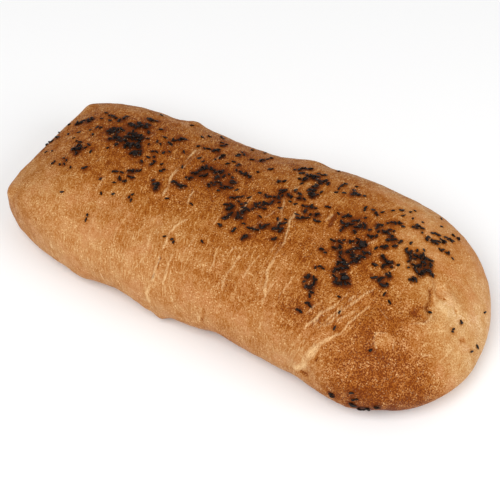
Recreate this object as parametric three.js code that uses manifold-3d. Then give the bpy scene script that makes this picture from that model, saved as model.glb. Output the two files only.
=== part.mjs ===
// A whole oval-ended flatbread loaf, strewn with small black seeds. Millimetres, +Z up.
// X runs along the loaf, with its broad round end at +X and its blunt end at -X.
// -Y is the front side, +Y the back side, and the flat base rests on z = 0.

import * as THREE from "three";
import { mergeVertices } from "three/addons/utils/BufferGeometryUtils.js";
import Module from "manifold-3d";

// ---- Driving dimensions, in millimetres ----

const LENGTH = 300;

// Six stations, evenly spaced from the blunt end to the round end.
const HALF_WIDTH = [56.5, 63.5, 65, 68, 71.5, 74];
const SIDEWAYS = [-4, 4, 2, 5.5, 0, -10];
const CROWN_HEIGHT = [44.5, 52.5, 56, 61.5, 61.5, 59.5];

// How each edge closes at the two ends: how far back from the tip, and how squarely.
const FRONT_CLOSING = { blunt: { reach: 79, power: 1.8 }, round: { reach: 69, power: 1.8 } };
const BACK_CLOSING = { blunt: { reach: 23, power: 2.6 }, round: { reach: 73, power: 2.4 } };
const CROWN_CLOSING = { blunt: { reach: 62, power: 1.8 }, round: { reach: 85, power: 1.8 } };

// The blunt end is pressed flat: there the dough stops short of where it would have closed.
const STOPPED_SHORT = 17;
const STOP_SKEW = 0.13;
const STOP_SOFTNESS = 1.5;

// The widest line lies low on the sides, and lower still at the tips.
const WIDEST_SHARE = 0.39;
const TIP_LEVEL = { blunt: 0.6, round: 0.5 };

// Section: rounded above, squarer at the blunt end, and tucked under to the base.
const SHOULDER_POWER = 0.9;
const BLUNT_SHOULDER_POWER = 0.45;
const BLUNT_SHOULDER_X = -115;
const BLUNT_SHOULDER_BLEND = 10;
const UNDERSIDE_POWER = 2 / 2.6;
const BASE_CUT = 1.25;
const TIP_UNDERCUT = { blunt: 6, round: 12, power: 1.6, fade: 35 };

// Lumps and hollows of the crust: place along the loaf, place round it in degrees
// (0 back edge, 90 crown, 180 front edge, more is underneath), how wide, and how high.
const LUMPS = [
  { x: -148, round: 150, wide: 5, high: 1.8 },
  { x: -142, round: 45, wide: 6, high: 1.2 },
  { x: -90, round: 30, wide: 5, high: -1.4 },
  { x: -73, round: 27, wide: 6, high: 1.7 },
  { x: -15, round: 30, wide: 9, high: -1.0 },
  { x: 8, round: 30, wide: 8, high: 1.5 },
  { x: 22, round: 30, wide: 5, high: -0.9 },
  { x: -84, round: 203, wide: 8, high: 1.5 },
  { x: -58, round: 203, wide: 11, high: -1.4 },
  { x: -28, round: 206, wide: 4.5, high: 3.0 },
  { x: -37, round: 200, wide: 6, high: 1.0 },
  { x: 9, round: 205, wide: 9, high: -1.8 },
  { x: 34, round: 200, wide: 12, high: 0.9 },
  { x: 64, round: 200, wide: 9, high: -0.8 },
  { x: 98, round: 200, wide: 7, high: 0.8 },
  { x: 118, round: 200, wide: 6, high: -0.9 },
];

// Folds and stretch marks of the upper side, each from one x and y to another.
const FOLDS = [
  { from: [92, -30], to: [71, -68], wide: 4, high: -1.3 },
  { from: [80, -45], to: [64, -66], wide: 3.5, high: 0.9 },
  { from: [28, 0], to: [45, -58], wide: 3, high: 0.8 },
  { from: [-52, 30], to: [-50, -14], wide: 2.5, high: 0.8 },
  { from: [118, 6], to: [121, -10], wide: 4, high: -2.2 },
  { from: [112, 5], to: [114, -12], wide: 4, high: 1.1 },
  { from: [126, 7], to: [128, -11], wide: 4, high: 1.1 },
];

// Black seeds, pressed into the top of the dough. SEED_SHARE of them are given a solid.
const SEED_LENGTH = 3.1;
const SEED_WIDTH = 1.6;
const SEED_THICKNESS = 1.5;
const SEED_LIFT = 0.2;
const SEED_SPACING = 3.4;
const SEED_SHARE = 0.48;
const SEED_TRIES = 12;
const SEED_DRAW = 7;
const DRAW_FACTOR = 16807;
const DRAW_RANGE = 2147483647;

// Where the seeds lie: x and y of a patch, its half length and half width, and its seeds.
const SEED_PATCHES = [
  [-128, 25, 7, 4, 5], [-112, 32, 9, 5, 7], [-93, 37, 6, 8, 9], [-102, 21, 6, 6, 11],
  [-92, 19, 7, 8, 24], [-84, 10, 6, 3, 5], [-118, 14, 10, 6, 5], [-139, 4, 4, 8, 6],
  [-118, 0, 7, 5, 6], [-122, -15, 5, 5, 4], [-106, -16, 4, 7, 3], [-80, -9, 9, 5, 8],
  [-75, -24, 11, 4, 4], [-59, -7, 4, 4, 3], [-77, 22, 5, 9, 4], [-67, 32, 4, 6, 3],
  [-69, 8, 8, 8, 8], [-54, 36, 5, 14, 5], [-41, 42, 8, 9, 9], [-22, 46, 14, 6, 6],
  [-40, 13, 5, 8, 12], [-27, 16, 7, 8, 10], [-15, 24, 7, 6, 6], [-47, 0, 4, 4, 3],
  [-11, 3, 6, 5, 4], [-4, -8, 7, 6, 9], [9, 10, 10, 12, 14], [12, 24, 7, 6, 6],
  [18, -9, 8, 6, 8], [22, 42, 9, 7, 17], [27, 31, 7, 8, 11], [34, 12, 6, 8, 8],
  [46, 41, 10, 6, 11], [79, 46, 9, 6, 7], [105, 46, 11, 12, 14], [68, 33, 9, 3, 4],
  [80, 26, 8, 7, 8], [63, 13, 9, 7, 14], [86, 16, 6, 6, 6], [105, 15, 8, 6, 17],
  [72, -3, 8, 8, 19], [71, -19, 7, 8, 12], [90, -2, 8, 7, 8], [93, -13, 8, 6, 6],
  [57, -33, 5, 7, 7], [59, -12, 6, 10, 5], [137, -3, 5, 7, 3], [105, -64, 12, 2, 4],
];

// ---- Fineness of the faceted crust ----

const RINGS = 64;
const RING_POINTS = 40;
const SLOPE_STEP = 0.002;
const MERGE_TOLERANCE = 0.001;

// ---- Form of the loaf ----

const { clamp, degToRad, lerp } = THREE.MathUtils;
const FAR_TIP = -LENGTH / 2 - STOPPED_SHORT;
const NEAR_TIP = LENGTH / 2;

// A smooth curve through values set at even stations along the loaf.
function alongLoaf(values, x) {
  const last = values.length - 1;
  const place = ((x + LENGTH / 2) / LENGTH) * last;
  const i = clamp(Math.floor(place), 0, last - 1);
  const t = place - i;
  const b = values[i];
  const c = values[i + 1];
  const a = i > 0 ? values[i - 1] : 2 * b - c;
  const d = i + 1 < last ? values[i + 2] : 2 * c - b;
  return b + 0.5 * t * (c - a + t * (2 * a - 5 * b + 4 * c - d + t * (3 * b - a - 3 * c + d)));
}

// 1 along the body of the loaf, closing to 0 at both tips.
function closing(ends, x) {
  const blunt = clamp((FAR_TIP + ends.blunt.reach - x) / ends.blunt.reach, 0, 1);
  const round = clamp((x - NEAR_TIP + ends.round.reach) / ends.round.reach, 0, 1);
  const atBlunt = (1 - blunt ** ends.blunt.power) ** (1 / ends.blunt.power);
  const atRound = (1 - round ** ends.round.power) ** (1 / ends.round.power);
  return atBlunt * atRound;
}

function signedPower(value, power) {
  return Math.sign(value) * Math.abs(value) ** power;
}

// Heights of one cross section: its widest line, and the crown's rise above that line.
function sectionHeights(x) {
  const share = (x - FAR_TIP) / (NEAR_TIP - FAR_TIP);
  const tipLevel = lerp(TIP_LEVEL.blunt, TIP_LEVEL.round, share);
  const taper = closing(CROWN_CLOSING, x);
  const crown = alongLoaf(CROWN_HEIGHT, x);
  const widest = WIDEST_SHARE * crown * lerp(tipLevel, 1, taper);
  return { widest, rise: (1 - WIDEST_SHARE) * crown * taper };
}

// A point of the smooth loaf: x before the ends are pressed in, and the turn round it.
function smoothPoint(x, turn) {
  const c = Math.cos(turn);
  const s = Math.sin(turn);
  const { widest, rise } = sectionHeights(x);
  const bluntness = 1 / (1 + Math.exp((x - BLUNT_SHOULDER_X) / BLUNT_SHOULDER_BLEND));
  const power = lerp(SHOULDER_POWER, BLUNT_SHOULDER_POWER, bluntness);
  const reach = alongLoaf(HALF_WIDTH, x) * closing(c > 0 ? BACK_CLOSING : FRONT_CLOSING, x);
  const above = s > 0;
  const y = alongLoaf(SIDEWAYS, x) + reach * signedPower(c, above ? power : UNDERSIDE_POWER);
  const drop = BASE_CUT * Math.abs(s) ** UNDERSIDE_POWER;
  const z = above ? widest + rise * s ** power : widest * (1 - drop);
  const low = above ? 0 : clamp(drop, 0, 1) ** TIP_UNDERCUT.power;
  const tucked = x - TIP_UNDERCUT.round * low * Math.exp((x - NEAR_TIP) / TIP_UNDERCUT.fade);
  const stop = -LENGTH / 2 + STOP_SKEW * y + TIP_UNDERCUT.blunt * low;
  const past = (stop - tucked) / STOP_SOFTNESS;
  const pressed = past > 20 ? past : Math.log1p(Math.exp(past));
  return new THREE.Vector3(tucked + STOP_SOFTNESS * pressed, y, z);
}

// The outward direction of the smooth loaf's surface.
function outward(x, turn) {
  const before = smoothPoint(Math.max(x - LENGTH * SLOPE_STEP, FAR_TIP), turn);
  const after = smoothPoint(Math.min(x + LENGTH * SLOPE_STEP, NEAR_TIP), turn);
  const lower = smoothPoint(x, turn - SLOPE_STEP * Math.PI);
  const upper = smoothPoint(x, turn + SLOPE_STEP * Math.PI);
  return upper.sub(lower).cross(after.sub(before)).normalize();
}

// The turn at which the upper side of the loaf lies at a given y.
function turnAt(x, y) {
  const across = y - alongLoaf(SIDEWAYS, x);
  const reach = alongLoaf(HALF_WIDTH, x) * closing(across > 0 ? BACK_CLOSING : FRONT_CLOSING, x);
  const share = clamp(across / reach, -1, 1);
  return Math.acos(signedPower(share, 1 / SHOULDER_POWER));
}

// ---- Relief of the crust ----

const lumps = LUMPS.map((lump) => ({ ...lump, at: smoothPoint(lump.x, degToRad(lump.round)) }));
const folds = FOLDS.map((fold) => {
  const [start, end] = [fold.from, fold.to].map(([x, y]) => smoothPoint(x, turnAt(x, y)));
  return { ...fold, line: new THREE.Line3(start, end) };
});

// How far the crust stands out of, or sinks into, the smooth loaf at a point.
function relief(point) {
  const nearest = new THREE.Vector3();
  let height = 0;
  for (const lump of lumps) {
    height += lump.high * Math.exp(-((point.distanceTo(lump.at) / lump.wide) ** 2));
  }
  for (const fold of folds) {
    fold.line.closestPointToPoint(point, true, nearest);
    height += fold.high * Math.exp(-((point.distanceTo(nearest) / fold.wide) ** 2));
  }
  return height;
}

function crustPoint(x, turn) {
  const point = smoothPoint(x, turn);
  return point.addScaledVector(outward(x, turn), relief(point));
}

// ---- Solids ----

// A closed surface from rings that close to a line or a point at both ends.
function ringSurface(rings) {
  const count = rings[0].length;
  const geometry = new THREE.BufferGeometry().setFromPoints(rings.flat());
  const index = [];
  for (let i = 0; i + 1 < rings.length; i += 1) {
    for (let j = 0; j < count; j += 1) {
      const next = (j + 1) % count;
      const a = i * count + j;
      const b = i * count + next;
      index.push(a, b, b + count, a, b + count, a + count);
    }
  }
  geometry.setIndex(index);
  return geometry;
}

function crustSurface() {
  const rings = [];
  for (let i = 0; i <= RINGS; i += 1) {
    const share = (1 - Math.cos((Math.PI * i) / RINGS)) / 2;
    const x = lerp(FAR_TIP, NEAR_TIP, share);
    const atTip = i === 0 || i === RINGS;
    const ring = [];
    for (let j = 0; j < RING_POINTS; j += 1) {
      const turn = (2 * Math.PI * j) / RING_POINTS;
      ring.push(atTip ? smoothPoint(x, turn) : crustPoint(x, turn));
    }
    rings.push(ring);
  }
  return ringSurface(rings);
}

const wasm = await Module();
wasm.setup();

function toSolid(geometry) {
  const bare = geometry.clone();
  bare.deleteAttribute("normal");
  bare.deleteAttribute("uv");
  const merged = mergeVertices(bare, MERGE_TOLERANCE);
  const corners = merged.index.array;
  const kept = [];
  for (let i = 0; i < corners.length; i += 3) {
    const [a, b, c] = [corners[i], corners[i + 1], corners[i + 2]];
    if (a !== b && b !== c && c !== a) {
      kept.push(a, b, c);
    }
  }
  const mesh = new wasm.Mesh({
    numProp: 3,
    vertProperties: new Float32Array(merged.attributes.position.array),
    triVerts: new Uint32Array(kept),
  });
  return new wasm.Manifold(mesh);
}

function toGeometry(solid) {
  const mesh = solid.getMesh();
  const geometry = new THREE.BufferGeometry();
  geometry.setAttribute("position", new THREE.BufferAttribute(mesh.vertProperties, 3));
  geometry.setIndex(new THREE.BufferAttribute(mesh.triVerts, 1));
  geometry.computeVertexNormals();
  return geometry;
}

// Everything below the tray's surface, which leaves the loaf its flat base.
function tray() {
  const depth = LENGTH / 4;
  const block = new THREE.BoxGeometry(LENGTH * 2, LENGTH, depth);
  return toSolid(block.translate(0, 0, -depth / 2));
}

// ---- Seeds ----

// A small generator of even draws between 0 and 1, the same on every run.
function drawsFrom(start) {
  let state = start;
  return () => {
    state = (state * DRAW_FACTOR) % DRAW_RANGE;
    return state / DRAW_RANGE;
  };
}

function seedSpots() {
  const draw = drawsFrom(SEED_DRAW);
  const spots = [];
  const bySize = [...SEED_PATCHES].sort((a, b) => b[4] - a[4]);
  for (const [x, y, halfLength, halfWidth, seeds] of bySize) {
    for (let i = 0; i < Math.round(seeds * SEED_SHARE); i += 1) {
      for (let tries = 0; tries < SEED_TRIES; tries += 1) {
        const spot = { x: x + halfLength * (2 * draw() - 1), heading: Math.PI * draw() };
        spot.turn = turnAt(spot.x, y + halfWidth * (2 * draw() - 1));
        spot.at = crustPoint(spot.x, spot.turn);
        if (spots.every((other) => other.at.distanceTo(spot.at) > SEED_SPACING)) {
          spots.push(spot);
          break;
        }
      }
    }
  }
  return spots;
}

function seedSolid({ x, turn, at, heading }) {
  const up = outward(x, turn);
  const seed = new THREE.IcosahedronGeometry(1, 0);
  seed.scale(SEED_LENGTH / 2, SEED_WIDTH / 2, SEED_THICKNESS / 2);
  seed.rotateZ(heading);
  seed.applyQuaternion(new THREE.Quaternion().setFromUnitVectors(THREE.Object3D.DEFAULT_UP, up));
  seed.translate(...at.addScaledVector(up, SEED_LIFT));
  return toSolid(seed);
}

// ---- The whole loaf ----

THREE.Object3D.DEFAULT_UP.set(0, 0, 1);

function loafGeometry() {
  const crust = toSolid(crustSurface()).subtract(tray());
  const seeds = seedSpots().map(seedSolid);
  return toGeometry(seeds.reduce((whole, seed) => whole.add(seed), crust));
}

// Moves the loaf so that the middle of its box stands on the origin.
function centredOnBase(geometry) {
  geometry.computeBoundingBox();
  const middle = geometry.boundingBox.getCenter(new THREE.Vector3());
  return geometry.translate(-middle.x, -middle.y, 0);
}

const goldenCrust = new THREE.MeshStandardMaterial({ color: 0xb37640, roughness: 0.6, metalness: 0 });
const loaf = new THREE.Mesh(centredOnBase(loafGeometry()), goldenCrust);
loaf.name = "loaf";

const bread = new THREE.Group();
bread.add(loaf);

export default bread;
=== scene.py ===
"""A whole loaf of turkish bread, browned on its crown and strewn with black nigella seeds.

The loaf's form is worked out in millimetres by the same rules as the solid it stands for: X runs along
the loaf towards its broad round end, -Y is its front side, and its flat base rests on z = 0.
"""

import itertools
import math

import bmesh
import bpy
import numpy as np
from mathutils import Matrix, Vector


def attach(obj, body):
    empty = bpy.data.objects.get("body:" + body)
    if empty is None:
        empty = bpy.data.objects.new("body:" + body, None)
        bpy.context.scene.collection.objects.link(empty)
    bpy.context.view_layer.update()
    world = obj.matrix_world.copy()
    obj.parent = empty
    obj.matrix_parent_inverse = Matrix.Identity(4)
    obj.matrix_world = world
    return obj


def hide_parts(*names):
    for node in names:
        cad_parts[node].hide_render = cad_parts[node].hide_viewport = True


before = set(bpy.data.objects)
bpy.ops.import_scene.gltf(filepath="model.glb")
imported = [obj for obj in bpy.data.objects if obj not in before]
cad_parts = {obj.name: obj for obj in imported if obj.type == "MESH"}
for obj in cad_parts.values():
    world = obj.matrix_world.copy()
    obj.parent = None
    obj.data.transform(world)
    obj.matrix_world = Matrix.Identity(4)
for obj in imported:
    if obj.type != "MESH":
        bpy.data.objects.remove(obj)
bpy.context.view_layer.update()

MM = 0.001

# ---- Driving dimensions of the loaf, in millimetres ----

LENGTH = 300.0

# Six stations, evenly spaced from the blunt end to the round end.
HALF_WIDTH = (56.5, 63.5, 65.0, 68.0, 71.5, 74.0)
SIDEWAYS = (-4.0, 4.0, 2.0, 5.5, 0.0, -10.0)
CROWN_HEIGHT = (44.5, 52.5, 56.0, 61.5, 61.5, 59.5)

# How each edge closes at the blunt and the round end: how far back from the tip, and how squarely.
FRONT_CLOSING = ((79.0, 1.8), (69.0, 1.8))
BACK_CLOSING = ((23.0, 2.6), (73.0, 2.4))
CROWN_CLOSING = ((62.0, 1.8), (85.0, 1.8))

# The blunt end is pressed flat: there the dough stops short of where it would have closed.
STOPPED_SHORT = 17.0
STOP_SKEW = 0.13
STOP_SOFTNESS = 1.5

# The widest line lies low on the sides, and lower still at the tips.
WIDEST_SHARE = 0.39
TIP_LEVEL = (0.6, 0.5)

# Section: rounded above, squarer at the blunt end, and tucked under to the base.
SHOULDER_POWER = 0.9
BLUNT_SHOULDER_POWER = 0.45
BLUNT_SHOULDER_X = -115.0
BLUNT_SHOULDER_BLEND = 10.0
UNDERSIDE_POWER = 2 / 2.6
BASE_CUT = 1.25
TIP_UNDERCUT = 12.0
BLUNT_UNDERCUT = 6.0
UNDERCUT_POWER = 1.6
UNDERCUT_FADE = 35.0

# Lumps and hollows: x, degrees round the loaf (0 back edge, 90 crown, 180 front edge), width, height.
LUMPS = (
    (-148, 150, 5, 1.8), (-142, 45, 6, 1.2), (-90, 30, 5, -1.4), (-73, 27, 6, 1.7),
    (-15, 30, 9, -1.0), (8, 30, 8, 1.5), (22, 30, 5, -0.9), (-84, 203, 8, 1.5),
    (-58, 203, 11, -1.4), (-28, 206, 4.5, 3.0), (-37, 200, 6, 1.0), (9, 205, 9, -1.8),
    (34, 200, 12, 0.9), (64, 200, 9, -0.8), (98, 200, 7, 0.8), (118, 200, 6, -0.9),
)

# Folds of the upper side: x and y of the start and of the end, width, height.
FOLDS = (
    ((92, -30), (71, -68), 4, -1.3),
    ((80, -45), (64, -66), 3.5, 0.9),
    ((28, 0), (45, -58), 3, 0.8),
    ((-52, 30), (-50, -14), 2.5, 0.8),
    ((118, 6), (121, -10), 4, -2.2),
    ((112, 5), (114, -12), 4, 1.1),
    ((126, 7), (128, -11), 4, 1.1),
)

# ---- Fine surface of the crust, in millimetres ----

RINGS = 360
UPPER_TURNS = 200
UNDER_TURNS = 70
TIP_CROWDING = 0.4
SLOPE_STEP = 0.6
MERGE_DISTANCE = 0.01
SLIVER_EDGE = 0.0001

# Waves of the skin: how wide, how high.
SKIN_WAVES = ((17.0, 0.45), (7.0, 0.2), (3.0, 0.1))
MARK_WANDER = 0.9
FIBRE_WIDTH = 1.9
FIBRE_LENGTH = 13.0
FIBRE_HEIGHT = 0.06
FIBRE_LEAN = 0.3
FIBRE_UPRIGHT_X = 45.0
FIBRE_LEAN_BLEND = 40.0

# Fibres show along the body of the loaf and fade out towards both ends.
FIBROUS_MIDDLE = -10.0
FIBROUS_REACH = 108.0
FIBROUS_BLEND = 8.0

# How far from the tips the relief sets in: full where the loaf is a quarter of its width.
RELIEF_ONSET = 4

# ---- Seeds ----

SEED_LENGTH = 3.1
SEED_WIDTH = 1.45
SEED_RINGS = 6
SEED_SEAT = 0.2
SEED_GAP = 1.4
PILE_LIFT = 0.5

# Dark crust close to seeds, partly scorched and partly painted shade under and between them, and toasted
# crust round them.
SCORCH_AND_SHADE_WIDTH = 1.65
SEED_DIP_DEPTH = 0.25
LONE_SEED_DARKENING = 0.4
CROWD_WIDTH = 3.5
CROWD_ENOUGH = 2.5
TOASTED_WIDTH = 8.0
TOASTED_ENOUGH = 6

# Strings and piles of seeds: x and y of one end and of the other, half width, seeds. The ends were read
# on the enlarged photo and carried over to whole millimetres with the fitted camera, and the
# numbers of seeds are estimates, not counts.
SEED_STRINGS = (
    # the blunt third
    (-147, 3, -141, 11, 0.7, 5), (-142, -5, -139, -4, 0.3, 1), (-137, -4, -136, -4, 0, 1),
    (-142, 22, -142, 24, 0.2, 1), (-145, 15, -144, 14, 0, 1), (-137, 23, -125, 28, 1.6, 12),
    (-122, 29, -119, 29, 0.2, 1), (-122, 35, -111, 32, 0.7, 5), (-109, 29, -107, 37, 0.8, 5),
    (-116, 28, -113, 29, 0, 1), (-120, 21, -115, 21, 0.4, 2), (-123, 17, -121, 18, 0, 1),
    (-129, 14, -128, 15, 0, 1), (-136, 13, -135, 12, 0, 1), (-120, 15, -117, 13, 0.2, 1),
    (-129, 8, -126, 10, 0.2, 1), (-124, 5, -117, -6, 2, 10), (-124, -2, -115, 0, 0.7, 4),
    (-115, 0, -113, 6, 0.6, 2), (-109, -3, -110, 0, 0, 1), (-102, 4, -101, 6, 0.4, 1),
    (-128, -18, -127, -12, 0.7, 2), (-124, -16, -118, -15, 0.6, 2), (-124, -9, -118, -14, 0.8, 2),
    (-120, 4, -115, -2, 0, 1), (-107, -17, -104, -14, 0.6, 2), (-118, -11, -109, -24, 0, 1),
    (-109, -36, -108, -35, 0, 1), (-92, -20, -91, -18, 0, 1), (-83, -18, -82, -18, 0, 1),
    (-87, -27, -84, -28, 0.2, 1), (-79, -26, -78, -25, 0.3, 1), (-88, -11, -85, -10, 0.3, 2),
    (-83, -10, -80, -8, 0.3, 1), (-80, -7, -73, -3, 0.9, 6), (-82, -13, -76, -15, 0.8, 4),
    (-79, -11, -73, -11, 0.8, 2), (-70, -24, -66, -25, 0.7, 2), (-68, -22, -67, -20, 0.3, 1),
    (-61, -8, -56, -11, 1.8, 8), (-50, -2, -43, -3, 1.7, 8), (-86, -41, -85, -46, 0, 2),
    (-36, -39, -34, -38, 0.2, 1), (-32, -38, -29, -39, 0.1, 1), (-29, -39, -28, -40, 0, 1),
    (-48, -16, -46, -16, 0, 1), (-109, 18, -102, 23, 2.3, 18), (-104, 14, -94, 17, 2.3, 18),
    (-100, 29, -91, 34, 2.3, 18), (-96, 22, -87, 20, 2.6, 23), (-93, 12, -83, 15, 2.6, 21),
    (-86, 8, -80, 10, 2, 12), (-98, 8, -97, 11, 0.6, 2), (-95, 41, -89, 42, 0.8, 5),
    (-90, 34, -90, 37, 0.4, 1), (-88, 30, -85, 27, 0.4, 2), (-84, 23, -83, 23, 0, 1),
    (-79, 25, -73, 21, 0.6, 2), (-81, 18, -79, 21, 0.3, 1), (-82, 35, -81, 36, 0, 1),
    (-93, 53, -91, 52, 0, 1), (-75, 29, -75, 29, 0, 1), (-75, 14, -72, 15, 0.4, 2),
    (-69, 16, -65, 19, 0.3, 2), (-77, 5, -75, 2, 0.4, 2), (-75, 8, -71, 10, 0.7, 2),
    (-70, 8, -68, 6, 0.2, 1), (-70, 3, -69, 6, 0.4, 2), (-65, 7, -63, 7, 0, 1), (-63, 1, -60, 3, 0.5, 2),
    (-71, 26, -68, 25, 0.4, 2), (-70, 29, -64, 36, 1, 6), (-59, 24, -57, 21, 0.2, 1),
    (-51, 9, -52, 12, 0, 1),
    # the middle
    (-71, 52, -70, 53, 0, 1), (-58, 43, -56, 44, 0.2, 1), (-55, 47, -53, 48, 0.3, 1),
    (-51, 54, -46, 52, 0.3, 2), (-45, 46, -45, 46, 0, 1), (-55, 33, -48, 32, 0.6, 2),
    (-46, 32, -42, 37, 1.4, 5), (-43, 41, -41, 47, 0.7, 3), (-39, 26, -35, 33, 0.9, 4),
    (-31, 26, -29, 30, 0.3, 1), (-48, 21, -47, 23, 0, 1), (-44, 20, -43, 23, 0.3, 1),
    (-45, 4, -41, 12, 1.7, 8), (-42, 15, -36, 17, 1.7, 8), (-38, 8, -36, 12, 0.8, 4),
    (-35, 17, -34, 18, 0.3, 1), (-32, 15, -28, 19, 1.5, 6), (-31, 11, -25, 14, 1.4, 5),
    (-29, 7, -24, 9, 1, 4), (-30, 3, -30, 8, 0.7, 3), (-26, 18, -20, 16, 0.5, 2),
    (-20, 13, -17, 12, 0.9, 4), (-23, 6, -17, 9, 0.9, 5), (-14, 7, -12, 9, 0.1, 1), (-23, 3, -23, 3, 0, 1),
    (-30, 37, -28, 39, 0.3, 2), (-30, 44, -26, 41, 0.3, 2), (-29, 30, -26, 31, 0.3, 1),
    (-24, 27, -23, 30, 0.5, 2), (-22, 23, -13, 23, 1.4, 6), (-13, 20, -11, 23, 0.3, 1),
    (-27, 51, -27, 52, 0, 1), (-20, 54, -20, 55, 0, 1), (-20, 38, -19, 39, 0.2, 1),
    (-15, 38, -13, 42, 0.7, 3), (-14, 45, -12, 48, 0.6, 2), (-6, 33, -4, 35, 0.6, 2),
    (-10, 28, -10, 28, 0, 1), (-1, 12, 1, 11, 0.2, 1), (-4, 5, -3, 6, 0.2, 1), (-14, 0, -7, 4, 0.6, 4),
    (-14, -6, -9, -4, 0.9, 4), (-11, -9, -8, -6, 0.9, 4), (-6, -2, -2, 0, 0.7, 2),
    (-6, -10, 1, -6, 1.7, 7), (-9, -15, -6, -11, 0.8, 4), (-4, -13, 1, -11, 0.7, 3),
    (-8, 1, -5, -4, 0.4, 1), (-3, -4, 2, -4, 0.7, 3), (-33, -13, -30, -14, 0.3, 1),
    (-9, -21, -7, -20, 0.5, 2), (0, -21, 2, -19, 0.5, 2), (3, -14, 5, -15, 0, 1), (7, -16, 14, -15, 0.6, 4),
    (7, -24, 11, -21, 1, 4), (2, -1, 4, 4, 1.5, 5), (6, 1, 10, 1, 0.5, 2), (3, 10, 13, 13, 1.1, 5),
    (6, 4, 9, 5, 0.9, 3), (10, 6, 11, 8, 0.4, 2), (10, 16, 13, 21, 1.4, 5), (12, 11, 13, 15, 0.7, 2),
    (14, 8, 15, 9, 0, 1), (16, 5, 18, 6, 0.2, 1), (4, 25, 8, 27, 0.8, 3), (18, -2, 21, -4, 0.3, 1),
    (23, -1, 26, -2, 0.1, 1), (10, -6, 10, -6, 0, 1), (13, -12, 13, -11, 0, 1), (15, -12, 18, -9, 1, 4),
    (20, -11, 24, -8, 1, 4), (23, -6, 25, -5, 0.8, 2), (25, -12, 26, -8, 0.7, 3),
    (24, -18, 26, -16, 0.4, 2),
    # behind the crown of the near half
    (6, 42, 9, 41, 0.3, 1), (10, 40, 10, 47, 0.4, 2), (12, 39, 14, 42, 0.6, 2), (11, 46, 16, 47, 0.6, 4),
    (17, 41, 23, 40, 2.1, 10), (17, 33, 19, 36, 1, 4), (17, 28, 19, 30, 0.3, 1), (20, 44, 22, 45, 0.2, 1),
    (24, 45, 27, 46, 0.3, 2), (26, 36, 30, 40, 1.1, 5), (31, 36, 33, 39, 0.3, 1), (25, 30, 28, 32, 0.9, 4),
    (24, 26, 28, 28, 0.8, 4), (27, 23, 28, 25, 0.5, 2), (29, 21, 31, 25, 1.1, 5), (14, 33, 15, 34, 0, 1),
    (17, 21, 19, 23, 0.6, 2), (15, 17, 19, 15, 0.7, 3), (22, 16, 26, 18, 0.7, 3), (21, 21, 23, 20, 0.4, 2),
    (20, 12, 20, 12, 0.2, 1), (23, 11, 24, 13, 0.3, 1), (32, 28, 32, 29, 0.1, 1), (39, 33, 40, 33, 0.1, 1),
    (39, 35, 40, 38, 0.3, 1), (39, 40, 39, 41, 0, 1), (39, 42, 41, 46, 0.7, 2), (46, 45, 47, 46, 0, 1),
    (42, 34, 45, 35, 0.1, 1), (48, 36, 49, 38, 0.7, 3), (47, 41, 47, 41, 0, 1), (50, 39, 52, 38, 0.4, 2),
    (54, 39, 55, 40, 0.2, 1), (29, 57, 29, 58, 0, 1), (29, 12, 34, 15, 0.9, 4), (33, 12, 36, 14, 0.5, 2),
    (31, 8, 31, 10, 0.5, 2), (27, 4, 29, 5, 0.1, 1), (30, 2, 36, 5, 0.6, 4), (36, 8, 40, 10, 0.8, 4),
    (40, 5, 42, 6, 0.4, 2), (39, 18, 43, 19, 0.3, 2), (48, 17, 51, 15, 0.2, 1), (53, 15, 56, 19, 0.8, 4),
    (53, 12, 57, 6, 1, 4), (57, 10, 60, 13, 0.8, 4), (64, 6, 63, 10, 0.7, 2), (59, 15, 62, 18, 0.5, 3),
    (63, 13, 67, 13, 1.4, 5), (65, 17, 67, 15, 0.6, 2), (64, 21, 64, 23, 0.3, 1), (60, 27, 60, 30, 0.4, 2),
    (64, 29, 65, 32, 0.3, 1), (66, 30, 69, 27, 0.4, 2), (69, 31, 71, 33, 0.3, 1), (69, 13, 71, 14, 0.3, 1),
    (71, 10, 73, 9, 0.6, 2), (74, 10, 76, 13, 0.6, 2), (74, 14, 76, 17, 0.3, 1), (72, 18, 75, 23, 1, 4),
    (75, 24, 77, 26, 0.3, 1), (78, 17, 81, 21, 1.1, 5), (78, 27, 82, 31, 1, 4), (82, 21, 83, 23, 0.2, 1),
    (83, 18, 83, 16, 0.3, 2), (82, 13, 87, 17, 0.7, 4), (86, 11, 88, 13, 0.6, 2), (88, 15, 89, 19, 0.3, 2),
    (82, 6, 84, 9, 0.9, 4), (79, 3, 80, 5, 0.3, 1), (54, -4, 61, 0, 0.6, 4), (59, -2, 62, -3, 0.3, 1),
    (67, 4, 68, 4, 0.2, 1), (64, 0, 66, 2, 0.4, 2), (58, -8, 60, -8, 0.4, 2), (52, -12, 54, -12, 0.6, 2),
    (56, -13, 56, -13, 0, 1), (61, -5, 63, -7, 0.6, 2), (68, 1, 74, 3, 1.4, 7), (63, -9, 70, -7, 1.3, 6),
    (68, -4, 73, 0, 1.1, 5), (74, -3, 79, -2, 0.7, 4), (65, -12, 68, -14, 0.8, 3),
    (70, -10, 76, -6, 1.3, 7), (66, -17, 71, -14, 1.4, 6), (72, -13, 75, -10, 1, 4),
    (65, -22, 69, -20, 0.8, 4), (69, -19, 73, -17, 0.9, 4),
    # the round third
    (84, 1, 88, 0, 1, 4), (89, -2, 91, 1, 0.8, 4), (88, -6, 89, -3, 0.4, 2), (82, -8, 85, -6, 0.6, 2),
    (94, 1, 95, 2, 0, 1), (92, -4, 93, -1, 0.1, 1), (92, -7, 95, -9, 1, 4), (55, -26, 56, -23, 0.3, 1),
    (57, -23, 61, -23, 0.3, 2), (53, -34, 55, -30, 0.9, 4), (55, -36, 59, -38, 0.7, 3),
    (57, -30, 60, -31, 0.6, 2), (59, -36, 59, -32, 0.7, 3), (60, -41, 61, -38, 0.8, 2),
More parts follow.
